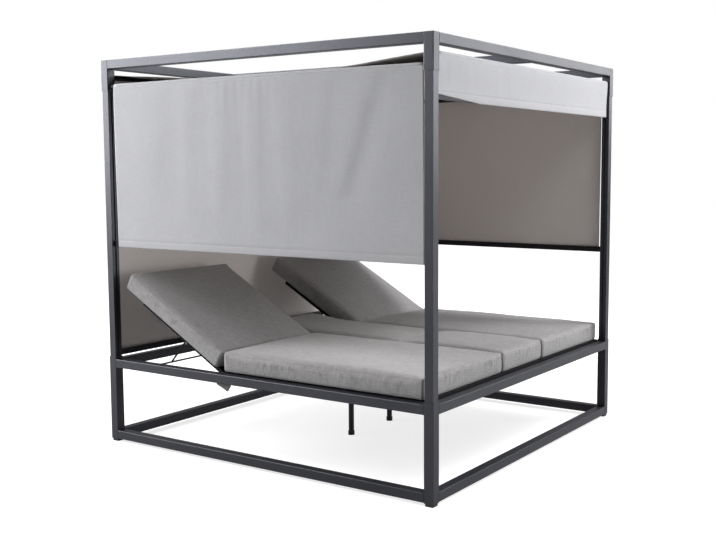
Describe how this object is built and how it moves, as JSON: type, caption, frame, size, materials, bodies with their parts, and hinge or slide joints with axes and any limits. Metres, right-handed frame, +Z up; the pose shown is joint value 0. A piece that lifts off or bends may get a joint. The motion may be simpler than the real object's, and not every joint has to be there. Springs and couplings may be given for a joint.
{
  "type": "outdoor daybed with canopy",
  "caption": "Square outdoor daybed with reclining backs, loose cushions and a post frame whose cloth canopy slides over rods as curtains.",
  "frame": {"origin": "middle of the frame's outline on the floor", "axes": "+Z up, +Y from the foot end to the head end where the backs recline, +X to the right of a person who stands at the foot end and looks at the bed"},
  "size_m": [2, 2.065, 2.0525],
  "materials": {
    "frame_coating": "anthracite powder coat",
    "deck_coating": "anthracite powder coat",
    "rod_coating": "anthracite powder coat, satin",
    "foot_plastic": "moulded black",
    "canopy_cloth": "woven outdoor cloth, light grey",
    "cushion_cloth": "slub-woven outdoor upholstery, mid grey"
  },
  "bodies": {
    "bed_frame": {"foot_front_left": "foot_plastic", "base_post_front_left": "frame_coating", "upper_post_front_left": "frame_coating", "top_leg_front_left": "frame_coating", "foot_front_right": "foot_plastic", "base_post_front_right": "frame_coating", "upper_post_front_right": "frame_coating", "top_leg_front_right": "frame_coating", "foot_rear_left": "foot_plastic", "base_post_rear_left": "frame_coating", "upper_post_rear_left": "frame_coating", "top_leg_rear_left": "frame_coating", "foot_rear_right": "foot_plastic", "base_post_rear_right": "frame_coating", "upper_post_rear_right": "frame_coating", "top_leg_rear_right": "frame_coating", "bottom_rail_front": "frame_coating", "bed_rail_front": "frame_coating", "top_rail_front": "frame_coating", "canopy_rod_front": "rod_coating", "curtain_front": "canopy_cloth", "bottom_rail_rear": "frame_coating", "bed_rail_rear": "frame_coating", "top_rail_rear": "frame_coating", "canopy_rod_rear": "rod_coating", "curtain_rear": "canopy_cloth", "bottom_rail_left": "frame_coating", "bed_rail_left": "frame_coating", "top_rail_left": "frame_coating", "beam_left": "frame_coating", "seat_deck_left": "deck_coating", "canopy_rod_left": "rod_coating", "seat_cushion_left": "cushion_cloth", "curtain_left": "canopy_cloth", "bottom_rail_right": "frame_coating", "bed_rail_right": "frame_coating", "top_rail_right": "frame_coating", "beam_right": "frame_coating", "seat_deck_right": "deck_coating", "canopy_rod_right": "rod_coating", "seat_cushion_right": "cushion_cloth", "curtain_right": "canopy_cloth", "roof_bar": "frame_coating", "centre_support": "frame_coating", "centre_deck": "deck_coating", "centre_cushion_front": "cushion_cloth", "centre_cushion_rear": "cushion_cloth", "roof_cloth_side": "canopy_cloth", "roof_cloth_long": "canopy_cloth"},
    "left_back": {"back_frame_left": "deck_coating"},
    "right_back": {"back_frame_right": "deck_coating"},
    "left_stay": {"prop_stay_left": "rod_coating"},
    "right_stay": {"prop_stay_right": "rod_coating"},
    "left_back_pad": {"back_cushion_left": "cushion_cloth"},
    "right_back_pad": {"back_cushion_right": "cushion_cloth"},
    "left_bar": {"canopy_bar_left": "rod_coating"},
    "right_bar": {"canopy_bar_right": "rod_coating"},
    "front_bar": {"canopy_bar_front": "rod_coating"},
    "rear_bar": {"canopy_bar_rear": "rod_coating"}
  },
  "joints": [
    {"name": "left_back_recline", "type": "hinge", "parent": "bed_frame", "child": "left_back", "pos_m": [-0.588, 0.262, 0.4535], "axis": [1, 0, 0], "range_deg": [-29.5, 8.5]},
    {"name": "left_stay_turn", "type": "hinge", "parent": "left_back", "child": "left_stay", "pos_m": [-0.588, 0.58071, 0.61314], "axis": [1, 0, 0], "range_deg": [-22.5, 77.9]},
    {"name": "left_pad_slide", "type": "slide", "parent": "left_back", "child": "left_back_pad", "axis": [0, 0.8704, 0.4924], "range_m": [-0.051, 0.0145]},
    {"name": "right_back_recline", "type": "hinge", "parent": "bed_frame", "child": "right_back", "pos_m": [0.588, 0.262, 0.4535], "axis": [1, 0, 0], "range_deg": [-29.5, 8.5]},
    {"name": "right_stay_turn", "type": "hinge", "parent": "right_back", "child": "right_stay", "pos_m": [0.588, 0.58071, 0.61314], "axis": [1, 0, 0], "range_deg": [-22.5, 77.9]},
    {"name": "right_pad_slide", "type": "slide", "parent": "right_back", "child": "right_back_pad", "axis": [0, 0.8704, 0.4924], "range_m": [-0.051, 0.0145]},
    {"name": "left_bar_slide", "type": "slide", "parent": "bed_frame", "child": "left_bar", "axis": [0, 0, 1], "range_m": [-0.595, 0.514], "deforming": ["curtain_left"]},
    {"name": "right_bar_slide", "type": "slide", "parent": "bed_frame", "child": "right_bar", "axis": [0, 0, 1], "range_m": [-0.514, 0.595], "deforming": ["curtain_right"]},
    {"name": "front_bar_slide", "type": "slide", "parent": "bed_frame", "child": "front_bar", "axis": [0, 0, 1], "range_m": [-1.3, 0], "deforming": ["curtain_front"]},
    {"name": "rear_bar_slide", "type": "slide", "parent": "bed_frame", "child": "rear_bar", "axis": [0, 0, 1], "range_m": [0, 1.3], "deforming": ["curtain_rear"]}
  ],
  "couplings": [
    {"joint": "left_stay_turn", "follows": "left_back_recline", "ratio": -2.637},
    {"joint": "left_pad_slide", "follows": "left_back_recline", "m_per_rad": 0.0971},
    {"joint": "right_stay_turn", "follows": "right_back_recline", "ratio": -2.637},
    {"joint": "right_pad_slide", "follows": "right_back_recline", "m_per_rad": 0.0971},
    {"joint": "right_bar_slide", "follows": "left_bar_slide", "ratio": -1},
    {"joint": "rear_bar_slide", "follows": "front_bar_slide", "ratio": -1}
  ]
}
